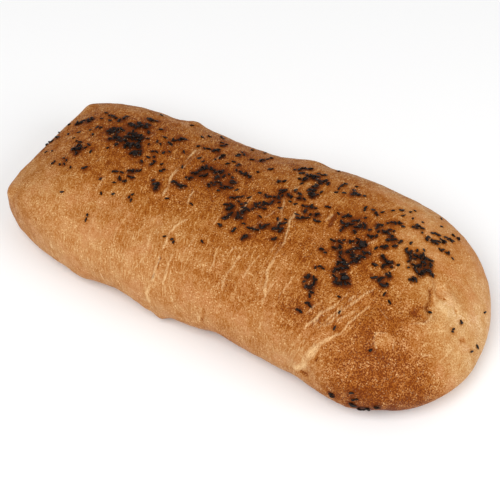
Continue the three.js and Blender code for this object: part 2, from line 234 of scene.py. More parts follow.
    (61, -45, 64, -46, 0.3, 2), (58, -50, 61, -50, 0.3, 2), (75, -35, 78, -35, 0.1, 1),
    (80, -44, 81, -42, 0.1, 1), (82, -52, 82, -51, 0, 1), (67, -25, 70, -26, 0.6, 2),
    (71, -23, 73, -21, 0.6, 2), (72, -25, 76, -23, 0.9, 4), (70, -29, 73, -27, 0.9, 4),
    (74, -27, 77, -24, 1, 4), (86, -16, 88, -13, 0.5, 2), (90, -15, 92, -12, 0.7, 3),
    (93, -17, 95, -14, 0.8, 4), (97, -22, 97, -17, 0.3, 1), (101, -22, 103, -24, 0.3, 1),
    (77, 41, 79, 43, 0.4, 2), (74, 37, 75, 40, 0.3, 1), (80, 37, 81, 39, 0.1, 1), (82, 48, 84, 48, 0.3, 1),
    (82, 44, 83, 45, 0, 1), (86, 39, 86, 40, 0, 1), (83, 28, 85, 30, 0.3, 1), (90, 34, 93, 37, 1.5, 6),
    (91, 41, 92, 42, 0.1, 1), (95, 32, 96, 34, 0.2, 1), (99, 38, 103, 40, 0.6, 3), (99, 29, 99, 32, 0.7, 2),
    (99, 33, 102, 32, 0.6, 2), (103, 31, 105, 32, 0.6, 2), (103, 33, 106, 35, 0.3, 2),
    (106, 37, 108, 37, 0.8, 3), (106, 41, 109, 43, 0.3, 2), (109, 43, 111, 43, 0.4, 2),
    (108, 49, 109, 49, 0.1, 1), (111, 50, 113, 49, 0.4, 2), (96, 59, 97, 58, 0, 1),
    (101, 49, 101, 50, 0.2, 1), (108, 30, 110, 30, 0.5, 2), (111, 31, 114, 31, 0.6, 2),
    (115, 30, 117, 30, 0.3, 1), (94, 19, 94, 22, 0.3, 1), (93, 13, 94, 15, 0, 1), (95, 15, 99, 10, 1.3, 6),
    (98, 17, 100, 20, 0.3, 1), (101, 21, 102, 21, 0.3, 1), (99, 14, 101, 14, 0.7, 3),
    (100, 12, 102, 12, 0.3, 1), (102, 16, 105, 16, 1.4, 6), (105, 16, 109, 18, 0.8, 4),
    (108, 14, 110, 14, 0.9, 4), (104, 13, 106, 13, 0.4, 2), (105, 10, 107, 12, 0.5, 2),
    (109, 10, 112, 9, 1.3, 6), (104, 6, 105, 9, 1.1, 5), (105, 4, 109, 7, 1.3, 7), (98, 7, 99, 8, 0.1, 1),
    (100, 3, 101, 5, 0.2, 1), (101, 7, 102, 8, 0, 1), (104, -3, 106, -2, 0.4, 2), (105, 0, 107, -1, 0.6, 3),
    (122, -11, 123, -11, 0.1, 1), (136, -10, 136, -8, 0.3, 1), (136, -12, 137, -11, 0.1, 1),
    (137, -1, 139, -3, 0.1, 1), (104, -53, 105, -51, 0.3, 1), (149, -3, 149, -3, 0, 1),
    (148, -9, 149, -8, 0, 1), (144, 19, 144, 19, 0, 1), (138, -2, 138, -3, 0, 1),
    (-14, -33, -12, -34, 0, 1),
    # low on the front side
    (103, -71, 105, -70, 0.5, 2), (105, -70, 108, -70, 0.3, 1),
)

# Seeds under the round end's overhang: x and degrees round the loaf at both ends, seeds.
LOW_SEED_STRINGS = (
    (91, 181, 93, 184, 3), (103, 184, 106, 191, 3), (107, 195, 114, 189, 7), (116, 185, 119, 183, 3),
)

# Broad chips among the seeds: x, y, length, width.
BROAD_SEEDS = ((72, 1, 5.0, 3.6), (74, -24, 5.2, 3.4))

# ---- Browning, measured from the middle of the loaf ----

BROWNING_BASE = 0.504
TOASTED_BROWNING = 0.08

# Uneven baking: how wide, how much browner or paler.
BROWNING_CLOUDS = ((16, 0.06), (7, 0.05))

# Broad patches: x, y, half length, half width, how much browner (or, below zero, paler).
BROWNING_PATCHES = (
    (-105, 20, 50, 44, 0.29), (-38, 16, 46, 50, 0.25), (30, 4, 46, 50, 0.25), (78, -6, 30, 42, 0.16),
    (112, -64, 33, 25, 0.47), (106, -28, 18, 16, 0.19), (62, -50, 16, 12, 0.14), (100, -42, 10, 6, 0.09),
    (-60, -40, 10, 8, 0.07), (138, -46, 16, 16, 0.18), (148, 10, 32, 34, -0.22), (88, 52, 28, 14, -0.16),
    (58, 44, 22, 14, 0.12), (-60, -66, 40, 12, -0.07), (102, -20, 14, 12, 0.06), (4, -6, 16, 20, 0.06),
    (60, -16, 14, 12, -0.05), (42, -12, 12, 14, 0.07), (-50, 8, 16, 14, -0.08), (100, 14, 14, 22, -0.15),
    (20, 22, 20, 18, -0.1), (68, -72, 18, 8, -0.16), (0, -50, 30, 14, 0.1), (-74, -36, 26, 14, 0.08),
    (-39, -14, 5, 5, 0.12), (130, -4, 10, 8, -0.12), (124, 16, 14, 12, 0.12), (100, 0, 8, 8, -0.05),
    (0, 2, 9, 8, -0.06), (140, -20, 10, 12, -0.1), (8, 42, 24, 10, 0.07), (-21, 12, 4, 4, 0.15),
    (60, 20, 12, 10, 0.06), (22, 36, 14, 22, -0.08), (38, 8, 12, 12, -0.04), (-100, -64, 12, 8, -0.08),
    (-40, -42, 10, 9, -0.07), (20, -60, 9, 7, 0.07), (98, -52, 14, 12, -0.08),
)

# Pale stretch marks of the upper side, and a few painted highlights on the lit sides of a pit, a blister
# and a crease's folds: points along the mark, width, how clear, how high.
STRETCH_MARKS_AND_HIGHLIGHTS = (
    # across the middle
    (((-52, 27), (-53, 1), (-50, -14)), 0.9, 1.0, 0.45),
    (((-49, 29), (-50, 15), (-51, 9)), 0.7, 0.7, 0.2),
    (((-38, 33), (-39, 24)), 0.7, 0.8, 0.2),
    (((-36, -4), (-35, -11), (-33, -18)), 0.75, 0.85, 0.15),
    (((-67, 42), (-68, 36)), 0.7, 0.6, 0.2),
    (((-82, 30), (-85, 20)), 0.8, 0.7, 0.2),
    (((-28, -24), (-33, -31), (-33, -44), (-32, -55)), 1.0, 0.95, 0.35),
    (((-32, -55), (-31, -60), (-33, -64), (-31, -68)), 1.3, 1.0, 0.4),
    (((-25, -46), (-25, -52), (-24, -60)), 0.9, 0.95, 0.3),
    (((-44, -40), (-42, -48)), 0.8, 0.8, 0.2),
    (((-40, -37), (-42, -55)), 0.75, 0.9, 0.15),
    (((3, -62), (2, -66), (2, -70)), 0.8, 0.9, 0.35),
    (((4, -37), (7, -30)), 0.75, 0.85, 0.15),
    (((6, -54), (11, -48)), 0.7, 0.75, 0.15),
    (((-12, -21), (-12, -11)), 0.75, 0.75, 0.1),
    (((12, -38), (15, -30)), 0.75, 0.75, 0.1),
    (((-2, -34), (0, -46), (3, -58)), 0.75, 0.8, 0.12),
    (((12, -34), (10, -48), (13, -60)), 0.75, 0.85, 0.15),
    (((22, -30), (20, -42), (22, -54)), 0.75, 0.85, 0.15),
    (((-18, -30), (-19, -42), (-17, -52)), 0.75, 0.75, 0.1),
    (((38, -40), (37, -52), (40, -62)), 0.75, 0.8, 0.15),
    (((47, -34), (45, -46), (47, -56)), 0.75, 0.75, 0.12),
    (((-48, -30), (-52, -42), (-51, -54)), 0.75, 0.75, 0.12),
    (((-62, -32), (-65, -44), (-62, -56)), 0.75, 0.7, 0.1),
    (((-3, -6), (-2, 6), (1, 14)), 0.75, 0.7, 0.12),
    (((10, -18), (12, -6), (15, 2)), 0.75, 0.7, 0.1),
    # beside the seeds of the near half
    (((16, 13), (20, 1), (23, -7)), 0.9, 0.7, 0.25),
    (((19, 28), (17, 22)), 0.8, 0.8, 0.2),
    (((26, 6), (28, -5), (32, -16)), 1.0, 0.9, 0.35),
    (((32, -17), (31, -26), (32, -38), (36, -48)), 1.1, 0.85, 0.3),
    (((28, -20), (28, -34), (33, -50)), 0.8, 0.75, 0.2),
    # painted highlight on the lit side of the pit at (48, 14)-(49, 6)
    (((46, 14), (46, 8)), 1.1, 0.75, 0.25),
    (((73, 3), (77, 9)), 0.8, 0.8, 0.2),
    (((89, -13), (95, -1)), 0.7, 0.7, 0.2),
    (((98, 3), (102, 13)), 0.7, 0.7, 0.2),
    (((52, -23), (53, -16)), 0.7, 0.6, 0.1),
    # the long streaks of the round end
    (((93, -31), (89, -40), (86, -52)), 0.7, 0.9, 0.3),
    (((86, -52), (81, -57), (76, -63)), 1.0, 0.9, 0.4),
    (((76, -63), (71, -69), (67, -71)), 2.2, 1.0, 0.4),
    (((91, -21), (87, -29), (82, -40), (79, -49), (76, -53)), 0.7, 0.95, 0.25),
    (((84, -30), (79, -42), (74, -54), (68, -62)), 0.75, 0.95, 0.2),
    (((80, -30), (74, -44), (69, -52)), 0.75, 0.95, 0.15),
    (((88, -35), (82, -48)), 0.75, 0.95, 0.15),
    (((69, -41), (63, -51)), 0.8, 0.8, 0.2),
    (((72, -46), (67, -56), (63, -64)), 1.0, 0.9, 0.25),
    (((71, -50), (71, -57)), 0.75, 0.8, 0.15),
    # painted highlight on the blister's left rim
    (((108, -39), (104, -42), (104, -46), (107, -49)), 0.8, 0.85, 0.35),
    (((113, -40), (115, -44)), 0.8, 0.7, 0.2),
    (((116, -26), (122, -21), (124, -12)), 1.0, 0.8, 0.3),
    (((117, 2), (113, 5)), 0.9, 0.5, 0.2),
    (((115, -1), (117, 1), (122, 12), (124, 18)), 0.7, 0.75, 0.3),
    # the next two are painted highlights on the lit folds beside the star-shaped crease
    (((122, -3), (129, -6)), 2.0, 0.7, 0.3),
    (((127, 3), (134, 4)), 3.0, 0.55, 0.3),
    (((120, 1), (123, -5), (123, -10)), 0.8, 0.7, 0.25),
    (((142, -12), (139, -24), (138, -32)), 0.8, 0.75, 0.25),
    (((129, -37), (133, -32)), 0.75, 0.8, 0.15),
    (((129, -20), (133, -14)), 0.75, 0.8, 0.15),
    (((99, -30), (105, -32)), 0.7, 0.6, 0.15),
    # the blunt end
    (((-100, -1), (-102, -9)), 0.7, 0.6, 0.15),
    (((-90, -17), (-90, -27)), 0.8, 0.65, 0.15),
    (((-97, -34), (-94, -42)), 0.8, 0.55, 0.15),
    (((-81, -36), (-80, -52), (-72, -57)), 1.4, 0.5, 0.1),
)

# Creases, pits and blisters, laid down like the stretch marks; blisters stand out. The creases and pits are
# darkened with painted shade, and the blister is made paler.
CREASES = (
    (((117, 0), (120, -4), (120, -11)), 1.9, 0.45, -1.2),
    (((119, 3), (125, 1)), 0.9, 0.5, -0.8),
    (((130, 3), (133, 1)), 0.8, 0.35, -0.5),
    (((117, -13), (115, -20)), 1.7, 0.28, -0.5),
    (((115, -20), (122, -18)), 2.2, 0.28, -0.6),
    (((142, -11), (143, -9)), 1.2, 0.4, -0.3),
    (((-32, -50), (-31, -55)), 0.5, 0.9, -0.5),
    (((-32, -57), (-31, -61)), 0.5, 0.9, -0.6),
    (((5, -62), (4, -70)), 0.6, 0.35, -0.4),
    (((48, 14), (49, 6)), 1.1, 0.4, -0.7),
    (((79, -66), (74, -70), (71, -71)), 1.0, 0.45, -0.6),
    (((108, -45), (110, -42)), 4.0, -0.3, 0.8),
)

# ---- Camera, in degrees and metres ----

VIEW_AZIMUTH = 28.98
VIEW_ELEVATION = 49.31
VIEW_DISTANCE = 1.03226
VIEW_AIM = Vector((0.0019, -0.0035, 0.0235))
LENS = 124.9
SENSOR = 36.0


# ---- Form of the loaf ----


def along_loaf(values, x):
    """A smooth curve through values set at even stations along the loaf."""
    values = np.array(values, float)
    last = len(values) - 1
    first, end = 2 * values[0] - values[1], 2 * values[-1] - values[-2]
    values = np.concatenate([[first], values, [end]])
    place = (x + LENGTH / 2) / LENGTH * last
    i = np.clip(np.floor(place), 0, last - 1).astype(int)
    t = place - i
    a, b, c, d = (values[i + k] for k in range(4))
    return b + 0.5 * t * (c - a + t * (2 * a - 5 * b + 4 * c - d + t * (3 * b - a - 3 * c + d)))


FAR_TIP = -LENGTH / 2 - STOPPED_SHORT
NEAR_TIP = LENGTH / 2


def closing(ends, x):
    """1 along the body of the loaf, closing to 0 at both tips."""
    (blunt_reach, blunt_power), (round_reach, round_power) = ends
    blunt = np.clip((FAR_TIP + blunt_reach - x) / blunt_reach, 0, 1)
    rounded = np.clip((x - NEAR_TIP + round_reach) / round_reach, 0, 1)
    at_blunt = (1 - blunt**blunt_power) ** (1 / blunt_power)
    at_round = (1 - rounded**round_power) ** (1 / round_power)
    return at_blunt * at_round


def signed_power(value, power):
    return np.sign(value) * np.abs(value) ** power


def shoulder_power(x):
    """How squarely the upper side turns into the sides: rounded, but squarer at the blunt end."""
    bluntness = 1 / (1 + np.exp((x - BLUNT_SHOULDER_X) / BLUNT_SHOULDER_BLEND))
    return SHOULDER_POWER + (BLUNT_SHOULDER_POWER - SHOULDER_POWER) * bluntness


def smooth_points(x, turn):
    """Points of the smooth loaf: x before the ends are pressed in, and the turn round it."""
    c, s = np.cos(turn), np.sin(turn)
    share = (x - FAR_TIP) / (NEAR_TIP - FAR_TIP)
    taper = closing(CROWN_CLOSING, x)
    crown = along_loaf(CROWN_HEIGHT, x)
    tip_level = TIP_LEVEL[0] + (TIP_LEVEL[1] - TIP_LEVEL[0]) * share
    widest = WIDEST_SHARE * crown * (tip_level + (1 - tip_level) * taper)
    rise = (1 - WIDEST_SHARE) * crown * taper
    power = shoulder_power(x)
    reach = np.where(c > 0, closing(BACK_CLOSING, x), closing(FRONT_CLOSING, x))
    reach = reach * along_loaf(HALF_WIDTH, x)
    above = s > 0
    side = np.where(above, signed_power(c, power), signed_power(c, UNDERSIDE_POWER))
    y = along_loaf(SIDEWAYS, x) + reach * side
    drop = BASE_CUT * np.abs(s) ** UNDERSIDE_POWER
    z = np.where(above, widest + rise * np.abs(s) ** power, widest * (1 - drop))
    low = np.where(above, 0, np.clip(drop, 0, 1) ** UNDERCUT_POWER)
    tucked = x - TIP_UNDERCUT * low * np.exp((x - NEAR_TIP) / UNDERCUT_FADE)
    stop = -LENGTH / 2 + STOP_SKEW * y + BLUNT_UNDERCUT * low
    pressed = STOP_SOFTNESS * np.logaddexp(0, (stop - tucked) / STOP_SOFTNESS)
    return np.stack([tucked + pressed, y, z], axis=-1)


def outward(x, turn):
    """The outward direction of the smooth loaf's surface."""
    before = smooth_points(np.maximum(x - SLOPE_STEP, FAR_TIP), turn)
    after = smooth_points(np.minimum(x + SLOPE_STEP, NEAR_TIP), turn)
    step = SLOPE_STEP / LENGTH * math.pi
    across = smooth_points(x, turn + step) - smooth_points(x, turn - step)
    normal = np.cross(across, after - before)
    size = np.linalg.norm(normal, axis=-1, keepdims=True)
    return normal / np.maximum(size, 1e-9)


def turn_at(x, y):
    """The turn at which the upper side of the loaf lies at a given y."""
    across = y - along_loaf(SIDEWAYS, x)
    reach = np.where(across > 0, closing(BACK_CLOSING, x), closing(FRONT_CLOSING, x))
    share = np.clip(across / np.maximum(reach * along_loaf(HALF_WIDTH, x), 1e-6), -1, 1)
    return np.arccos(signed_power(share, 1 / shoulder_power(x)))


# ---- Relief ----


def soft_waves(points, seed, lattice_size=24):
    """Smooth random waves one unit wide, between -1 and 1, the same on every run."""
    lattice = np.random.default_rng(seed).uniform(-1, 1, (lattice_size,) * points.shape[-1])
    cell = np.floor(points)
    t = points - cell
    t = t * t * (3 - 2 * t)
    cell = cell.astype(int)
    total = np.zeros(points.shape[:-1])
    for corner in itertools.product((0, 1), repeat=points.shape[-1]):
        weight = np.prod(np.where(corner, t, 1 - t), axis=-1)
        total += weight * lattice[tuple(np.moveaxis((cell + corner) % lattice_size, -1, 0))]
    return total


def bell(distance, width):
    return np.exp(-((distance / width) ** 2))


def distance_to_line(points, start, end):
    """Distance of each point to a straight stretch."""
    line = end - start
    share = np.clip((points - start) @ line / max(line @ line, 1e-9), 0, 1)
    return np.linalg.norm(points - start - share[..., None] * line, axis=-1)


def on_top(x, y):
    """The point of the smooth loaf's upper side over a place x, y."""
    return smooth_points(np.float64(x), turn_at(np.float64(x), y))


def main_relief(points):
    """How far lumps and folds stand out of the smooth loaf, or sink into it."""
    height = np.zeros(points.shape[:-1])
    for x, degrees, width, high in LUMPS:
        middle = smooth_points(np.float64(x), np.radians(degrees))
        height += high * bell(np.linalg.norm(points - middle, axis=-1), width)
    for start, end, width, high in FOLDS:
        height += high * bell(distance_to_line(points, on_top(*start), on_top(*end)), width)
    return height


# The solid is centred on its box, so places measured from the middle are moved by this much.
def box_middle():
    turn = np.linspace(0, 2 * math.pi, UPPER_TURNS, endpoint=False)
    x = np.linspace(FAR_TIP, NEAR_TIP, RINGS)[:, None]
    points = smooth_points(x, turn[None])
    points = points + outward(x, turn[None]) * main_relief(points)[..., None]
    middle = (points.reshape(-1, 3).min(0) + points.reshape(-1, 3).max(0)) / 2
    return np.array([middle[0], middle[1], 0])


MIDDLE = box_middle()


def along_marks(points, marks):
    """How clearly each point lies on one of the marks, and how high or low it lies there."""
    clear = np.zeros(points.shape[:-1])
    height = np.zeros(points.shape[:-1])
    wander = [MARK_WANDER * soft_waves(points / 5, seed) for seed in (51, 52, 53)]
    points = points + np.stack(wander, axis=-1)
    for places, width, clearness, high in marks:
        corners = [on_top(x + MIDDLE[0], y + MIDDLE[1]) for x, y in places]
        nearest = np.min([distance_to_line(points, *ends) for ends in zip(corners, corners[1:])], axis=0)
        mark = bell(nearest, width)
        clear = np.where(np.abs(clear) > abs(clearness) * mark, clear, clearness * mark)
        height += high * mark
    return clear, height


# ---- Seeds ----


def skin_relief(points):
    """The height of lumps and folds together with the waves of the skin."""
    height = main_relief(points)
    for k, (width, high) in enumerate(SKIN_WAVES):
        height += high * soft_waves(points / width + 3.7 * k, 31 + k)
    return height


def seed_size(rng):
    return SEED_LENGTH * rng.uniform(0.7, 1.25), SEED_WIDTH * rng.uniform(0.8, 1.15)


def seeds_on_lines(rng):
    """x, turn and heading of every seed before it is laid down, with its length and width."""
    spots = []
    for x0, y0, x1, y1, half_width, seeds in SEED_STRINGS:
        heading = math.atan2(y1 - y0, x1 - x0)
        for k in range(seeds):
            share = (k + 0.5 + rng.uniform(-0.3, 0.3)) / seeds
            x = x0 + (x1 - x0) * share + rng.uniform(-1, 1) * half_width + MIDDLE[0]
            y = y0 + (y1 - y0) * share + rng.uniform(-1, 1) * half_width + MIDDLE[1]
            turned = heading + rng.normal() * (0.3 + 0.5 * half_width)
            spots.append((x, float(turn_at(x, y)), turned, *seed_size(rng)))
    for x0, degrees0, x1, degrees1, seeds in LOW_SEED_STRINGS:
        for k in range(seeds):
            share = (k + 0.5) / seeds
            x = x0 + (x1 - x0) * share + MIDDLE[0] + rng.uniform(-0.5, 0.5)
            degrees = degrees0 + (degrees1 - degrees0) * share + rng.uniform(-1.5, 1.5)
            spots.append((x, math.radians(degrees), rng.normal() * 0.5, *seed_size(rng)))
    for x, y, length, width in BROAD_SEEDS:
        x, y = x + MIDDLE[0], y + MIDDLE[1]
        spots.append((x, float(turn_at(x, y)), rng.uniform(0, 3), length, width))
    return spots


def seed_places():
    """x, turn, heading, length, width and lift of every seed; one that lands on others lies on top."""
    rng = np.random.default_rng(11)
    laid = []
    taken = np.zeros((0, 3))
    for x, turn, *shape in seeds_on_lines(rng):
        at = smooth_points(np.float64(x), turn)
        under = int((np.linalg.norm(taken - at, axis=1) < SEED_GAP).sum())
        laid.append((x, turn, *shape, PILE_LIFT * min(under, 2) + rng.uniform(0, 0.25)))
        taken = np.vstack([taken, at])
    return np.array(laid)


SEEDS = seed_places()


def seed_shape(rng, length, width):
    """One seed: a little wedge with three to five edges, blunt at one end and narrow at the other."""
    corners = int(rng.integers(3, 6))
    sides = 2 * corners
    bow = rng.uniform(-0.14, 0.14) * length
    flatness = rng.uniform(0.7, 1)
    verts = [(-length / 2, bow * 0.1, 0)]
    for i in range(1, SEED_RINGS):
        share = i / SEED_RINGS
        swell = math.sin(math.pi * share**0.75) ** 0.6
        for j in range(sides):
            angle = math.pi * j / corners + 0.5 * share
            edge = 1 if j % 2 == 0 else math.cos(math.pi / corners) * 1.04
            radius = width / 2 * swell * edge * rng.uniform(0.94, 1.05)
            bend = bow * (1 - (2 * share - 1) ** 2)
            side, top = radius * math.cos(angle) + bend, flatness * radius * math.sin(angle)
            verts.append((length * (share - 0.5), side, top))
    verts.append((length / 2, 0, 0))
    faces = []
    for j in range(sides):
        after = (j + 1) % sides
        faces.append((0, 1 + after, 1 + j))
        for i in range(SEED_RINGS - 2):
            low, high = 1 + i * sides, 1 + (i + 1) * sides
            faces.append((low + j, low + after, high + after, high + j))
        final = 1 + (SEED_RINGS - 2) * sides
        faces.append((final + j, final + after, len(verts) - 1))
    return np.array(verts), faces


# ---- Meshes ----


def new_piece(name, verts, faces, material):
    mesh = bpy.data.meshes.new(name)
    mesh.from_pydata([tuple(v) for v in verts], [], faces)
    mesh.validate()
    mesh.materials.append(material)
    piece = bpy.data.objects.new(name, mesh)
    bpy.context.scene.collection.objects.link(piece)
    return piece


def add_values(mesh, name, values):
    """Stores one number for each vertex, for the material to read."""
    mesh.attributes.new(name, "FLOAT", "POINT").data.foreach_set("value", values.ravel())


def add_vectors(mesh, name, values):
    mesh.attributes.new(name, "FLOAT_VECTOR", "POINT").data.foreach_set("vector", values.ravel())


def crust_grid():
    """x and turn of every point of the crust, ring by ring; each ring starts under the base."""
    even = np.linspace(0, 1, RINGS + 1)
    crowded = (1 - np.cos(math.pi * even)) / 2
    share = even + (crowded - even) * TIP_CROWDING
    back = np.linspace(-math.pi / 2, 0, UNDER_TURNS // 2, endpoint=False)
    upper = np.linspace(0, math.pi, UPPER_TURNS, endpoint=False)
    front = np.linspace(math.pi, 1.5 * math.pi, UNDER_TURNS // 2, endpoint=False)
    x = FAR_TIP + (NEAR_TIP - FAR_TIP) * share
    return np.meshgrid(x, np.concatenate([back, upper, front]), indexing="ij")


def seed_darkening(x, points):
    """How dark the crust is close to seeds, partly scorch and partly painted shade under and between them,
    most where they crowd, and how toasted round them.
    """
    scorch_and_shade = np.zeros(points.shape[:-1])
    toast = np.zeros(points.shape[:-1])
    at = smooth_points(SEEDS[:, 0], SEEDS[:, 1])
    for seed in at:
        crowd = bell(np.linalg.norm(at - seed, axis=1), CROWD_WIDTH).sum() - 1
        strength = LONE_SEED_DARKENING + (1 - LONE_SEED_DARKENING) * (1 - math.exp(-crowd / CROWD_ENOUGH))
        near = np.abs(x[:, 0] - seed[0]) < 2.5 * TOASTED_WIDTH
        gap = np.linalg.norm(points[near] - seed, axis=-1)
        clear = 1 - strength * bell(gap, SCORCH_AND_SHADE_WIDTH * (0.8 + 0.4 * strength))
        scorch_and_shade[near] = 1 - (1 - scorch_and_shade[near]) * clear
        toast[near] += bell(gap, TOASTED_WIDTH)
    return scorch_and_shade, toast


def browning(points, toast):
    """How brown the crust is baked, from 0, pale, to 1, dark."""
    places = points - MIDDLE
    amount = np.full(points.shape[:-1], BROWNING_BASE)
    for x, y, half_length, half_width, more in BROWNING_PATCHES:
        away = np.hypot((places[..., 0] - x) / half_length, (places[..., 1] - y) / half_width)
        amount += more * np.exp(-away**2)
    amount += TOASTED_BROWNING * (1 - np.exp(-toast / TOASTED_ENOUGH))
    for seed, (width, more) in enumerate(BROWNING_CLOUDS, 21):
        amount += more * soft_waves(points / width, seed)
    return np.clip(amount, 0, 1)


def fibre_lay(x, points):
    """Where each point lies along the loaf and across its skin, leaning as the dough was stretched."""
    steps = np.linalg.norm(np.diff(points, axis=1, append=points[:, :1]), axis=-1)
    across = np.cumsum(steps, axis=1) - steps
    across -= across[:, (UNDER_TURNS + UPPER_TURNS) // 2, None]
    lean = FIBRE_LEAN * np.tanh((x - FIBRE_UPRIGHT_X) / FIBRE_LEAN_BLEND)
    return np.stack([points[..., 0] + lean * across, across, np.zeros_like(across)], axis=-1)


def ring_faces(rings, turns):
    """Four-sided faces between neighbouring rings."""
    index = np.arange(rings * turns).reshape(rings, turns)
    beside = np.roll(index, -1, axis=1)
    corners = (index[:-1], beside[:-1], beside[1:], index[1:])
    return np.stack([c.ravel() for c in corners], axis=1).tolist()


def make_crust(material):
    """The crust as one closed mesh, with what its material reads stored at each point."""
    x, turn = crust_grid()
    points = smooth_points(x, turn)
    lay = fibre_lay(x, points)
    height = skin_relief(points)
    fibres = np.stack([lay[..., 0] / FIBRE_WIDTH, lay[..., 1] / FIBRE_LENGTH], axis=-1)
    height += FIBRE_HEIGHT * soft_waves(fibres, 41, 96)
    stretch_and_highlight, raised = along_marks(points, STRETCH_MARKS_AND_HIGHLIGHTS)
    # Creases and pits are painted darker, as shade in the hollows.
    crease_shade, sunk = along_marks(points, CREASES)
    scorch_and_shade, toast = seed_darkening(x, points)
    height += raised + sunk - SEED_DIP_DEPTH * scorch_and_shade
    body = closing(FRONT_CLOSING, x) * closing(BACK_CLOSING, x)
    crust = points + outward(x, turn) * (height * np.clip(body * RELIEF_ONSET, 0, 1))[..., None]
    crust[..., 2] = np.maximum(crust[..., 2], 0)
    verts = ((crust - MIDDLE) * MM).reshape(-1, 3)
    piece = new_piece("crust", verts, ring_faces(*x.shape), material)
    add_vectors(piece.data, "lay", lay * MM)
    # This browning also carries the painted shade of creases and pits.
    add_values(piece.data, "browning", browning(points, toast) + crease_shade)
    add_values(piece.data, "stretch_and_highlight", stretch_and_highlight)
    # Dark crust by the seeds, partly scorch and partly painted shade, stored for the material.
    add_values(piece.data, "scorch_and_shade", scorch_and_shade)
    past_body = (np.abs(x - FIBROUS_MIDDLE) - FIBROUS_REACH) / FIBROUS_BLEND
    add_values(piece.data, "fibrous", 1 / (1 + np.exp(past_body)))
    close_tips(piece)
    piece.data.shade_smooth()
    return piece


def close_tips(piece):
    """Joins the doubled points of the first and the last ring, where the tips close."""
    work = bmesh.new()
    work.from_mesh(piece.data)
    verts = list(work.verts)
    turns = UPPER_TURNS + UNDER_TURNS
    bmesh.ops.remove_doubles(work, verts=verts[:turns] + verts[-turns:], dist=MERGE_DISTANCE * MM)
    bmesh.ops.dissolve_degenerate(work, edges=work.edges, dist=SLIVER_EDGE * MM)
    bmesh.ops.recalc_face_normals(work, faces=work.faces)
    work.to_mesh(piece.data)
    work.free()


def make_seeds(material):
    """All the seeds as one mesh, each lying in the crust."""
    rng = np.random.default_rng(5)
    verts, faces, tones = [], [], []
    x, turn = SEEDS[:, 0], SEEDS[:, 1]
    at = smooth_points(x, turn)
    up = outward(x, turn)
    at = at + up * skin_relief(at)[:, None]
    for place, normal, (heading, length, width, lift) in zip(at, up, SEEDS[:, 2:]):
        shape, shape_faces = seed_shape(rng, length, width)
        side = np.cross(normal, (math.cos(heading), math.sin(heading), 0))
        side /= np.linalg.norm(side)
        ahead = np.cross(side, normal)
        tilt = rng.uniform(-0.25, 0.25)
        ahead = ahead * math.cos(tilt) + normal * math.sin(tilt)
        top = np.cross(ahead, side)
        start = len(verts)
        verts.extend(place + normal * (SEED_SEAT + lift) + shape @ np.array([ahead, side, top]))
        faces.extend([tuple(start + c for c in face) for face in shape_faces])
        tones.extend([rng.uniform()] * len(shape))
    verts = (np.array(verts) - MIDDLE) * MM
    piece = new_piece("seeds", verts, faces, material)
    add_values(piece.data, "tone", np.array(tones))
    return piece


# ---- Materials ----


def srgb(red, green, blue):
    """A colour as a maker reads it off a screen, 0 to 255, as the shader wants it."""
    shares = (c / 255 for c in (red, green, blue))
    return tuple(c / 12.92 if c <= 0.04045 else ((c + 0.055) / 1.055) ** 2.4 for c in shares) + (1.0,)


class Shader:
    """A node tree that is filled by calls, each giving the new node's first output."""

    def __init__(self, tree):
        self.tree = tree

    def add(self, kind, inputs=None, output=0, **settings):
        node = self.tree.nodes.new(kind)
        for name, value in settings.items():
            setattr(node, name, value)
        for name, value in (inputs or {}).items():
            if isinstance(value, bpy.types.NodeSocket):
                self.tree.links.new(value, node.inputs[name])
            else:
                node.inputs[name].default_value = value
        return node.outputs[output]

    def maths(self, operation, a, b=0.0, clamp=False):
        return self.add("ShaderNodeMath", {0: a, 1: b}, operation=operation, use_clamp=clamp)

    def spread(self, value, low, high, to_low=0.0, to_high=1.0):
        """Moves a value from one range to another and holds it there."""
        ranges = {"Value": value, "From Min": low, "From Max": high}
        ranges.update({"To Min": to_low, "To Max": to_high})
        return self.add("ShaderNodeMapRange", ranges)

    def mix(self, share, under, over):
        inputs = {0: share, 6: under, 7: over}
        return self.add("ShaderNodeMix", inputs, 2, data_type="RGBA")

    def ramp(self, value, stops):
        socket = self.add("ShaderNodeValToRGB", {"Fac": value})
        ramp = socket.node.color_ramp
        while len(ramp.elements) < len(stops):
            ramp.elements.new(0.5)
        for element, (place, colour) in zip(ramp.elements, stops):
            element.position = place
            element.color = colour
        return socket

    def read(self, name, output="Fac"):
        """A number stored on the mesh."""
        node = self.tree.nodes.new("ShaderNodeAttribute")
        node.attribute_name = name
        return node.outputs[output]


def new_group(name, inputs, outputs):
    """An empty effect with named inputs and outputs."""
    tree = bpy.data.node_groups.new(name, "ShaderNodeTree")
    for socket_name, kind, value in inputs:
        socket = tree.interface.new_socket(socket_name, in_out="INPUT", socket_type=kind)
        if value is not None:
            socket.default_value = value
    for socket_name, kind in outputs:
        tree.interface.new_socket(socket_name, in_out="OUTPUT", socket_type=kind)
    given = tree.nodes.new("NodeGroupInput").outputs
    out = tree.nodes.new("NodeGroupOutput").inputs
    return tree, Shader(tree), given, out


def grain_group():
    """Fine uneven grain at a given size, and small round specks, some clear and some faint."""
    tree, shader, given, out = new_group(
        "Fine grain",
        [("Place", "NodeSocketVector", None), ("Size", "NodeSocketFloat", 1.0)],
        [("Grain", "NodeSocketFloat"), ("Specks", "NodeSocketFloat")],
    )
    scale = shader.maths("DIVIDE", 1 / MM, given["Size"])
    noise = shader.add("ShaderNodeTexNoise", {"Vector": given["Place"], "Scale": scale, "Detail": 3.0})
    apart = shader.maths("MULTIPLY", scale, 0.6)
    spots = shader.add("ShaderNodeTexVoronoi", {"Vector": given["Place"], "Scale": apart}).node
    dots = shader.spread(spots.outputs["Distance"], 0.36, 0.18)
    strength = shader.spread(spots.outputs["Color"], 0.42, 0.75)
    tree.links.new(noise, out["Grain"])
    tree.links.new(shader.maths("MULTIPLY", dots, strength), out["Specks"])
    return tree


